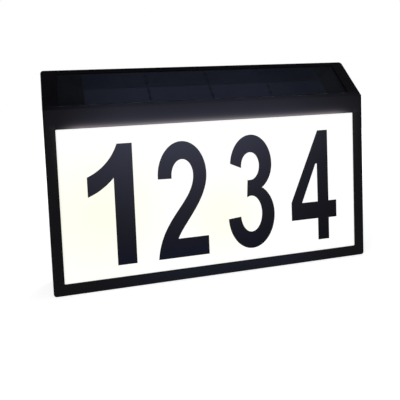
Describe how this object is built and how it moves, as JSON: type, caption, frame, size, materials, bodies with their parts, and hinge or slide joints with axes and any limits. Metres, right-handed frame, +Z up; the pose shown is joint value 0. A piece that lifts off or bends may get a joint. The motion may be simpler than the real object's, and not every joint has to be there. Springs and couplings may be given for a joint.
{
  "type": "house number plaque",
  "caption": "Wall sign for a house number: black moulded housing, sloping roof with a solar panel, edge-lit white window with plain stick-on numerals, keyholes and a push button on the back.",
  "frame": {"origin": "middle of the flat back face, on the wall", "axes": "+X across to the right as seen from the front, +Y back into the wall, +Z up; the front faces -Y"},
  "size_m": [0.33, 0.05, 0.212],
  "materials": {
    "black_abs": "moulded black plastic, fine spark-eroded texture",
    "black_laminate": "black solar board, matt",
    "silicon": "blue-black silicon cells with fine silver fingers",
    "clear_sheet": "clear sheet over the solar cells",
    "opal_acrylic": "opal white acrylic, lit from behind",
    "clear_acrylic": "clear acrylic light guide with a dot pattern",
    "white_film": "white reflector film",
    "dark_vinyl": "dark satin vinyl",
    "lamp_white": "white lamp bodies with yellow phosphor",
    "white_board": "white solder mask",
    "green_board": "green solder mask",
    "grey_abs": "moulded grey plastic",
    "cell_sleeve": "shrunk sleeve over a steel can",
    "nickel_steel": "nickel-plated spring steel",
    "zinc_steel": "zinc-plated screws",
    "chip_epoxy": "black moulded epoxy",
    "capacitor_can": "aluminium can",
    "ferrite": "sintered ferrite",
    "white_nylon": "natural nylon",
    "silicone": "dark grey silicone rubber",
    "red_lead": "red insulated wire",
    "black_lead": "black insulated wire"
  },
  "bodies": {
    "sign": {"front_housing": "black_abs", "back_cover": "black_abs", "cover_gasket": "silicone", "cover_screws": "zinc_steel", "inner_screws": "zinc_steel", "solar_board": "black_laminate", "solar_cells": "silicon", "solar_cover": "clear_sheet", "front_panel": "opal_acrylic", "light_guide": "clear_acrylic", "reflector_sheet": "white_film", "led_strip": "white_board", "leds": "lamp_white", "tray": "grey_abs", "battery_cell": "cell_sleeve", "battery_plus_contact": "nickel_steel", "battery_minus_contact": "nickel_steel", "control_board": "green_board", "board_chips": "chip_epoxy", "board_capacitors": "capacitor_can", "board_inductor": "ferrite", "lead_sockets": "white_nylon", "switch_body": "chip_epoxy", "numeral_1": "dark_vinyl", "numeral_2": "dark_vinyl", "numeral_3": "dark_vinyl", "numeral_4": "dark_vinyl", "solar_lead_red": "red_lead", "solar_lead_black": "black_lead", "lamp_lead_red": "red_lead", "lamp_lead_black": "black_lead", "battery_lead_red": "red_lead", "battery_lead_black": "black_lead"},
    "button": {"push_button": "silicone", "switch_plunger": "white_nylon"}
  },
  "joints": [
    {"name": "button_press", "type": "slide", "parent": "sign", "child": "button", "axis": [0, -1, 0], "range_m": [0, 0.0012], "stiffness_N_per_m": 1500}
  ]
}
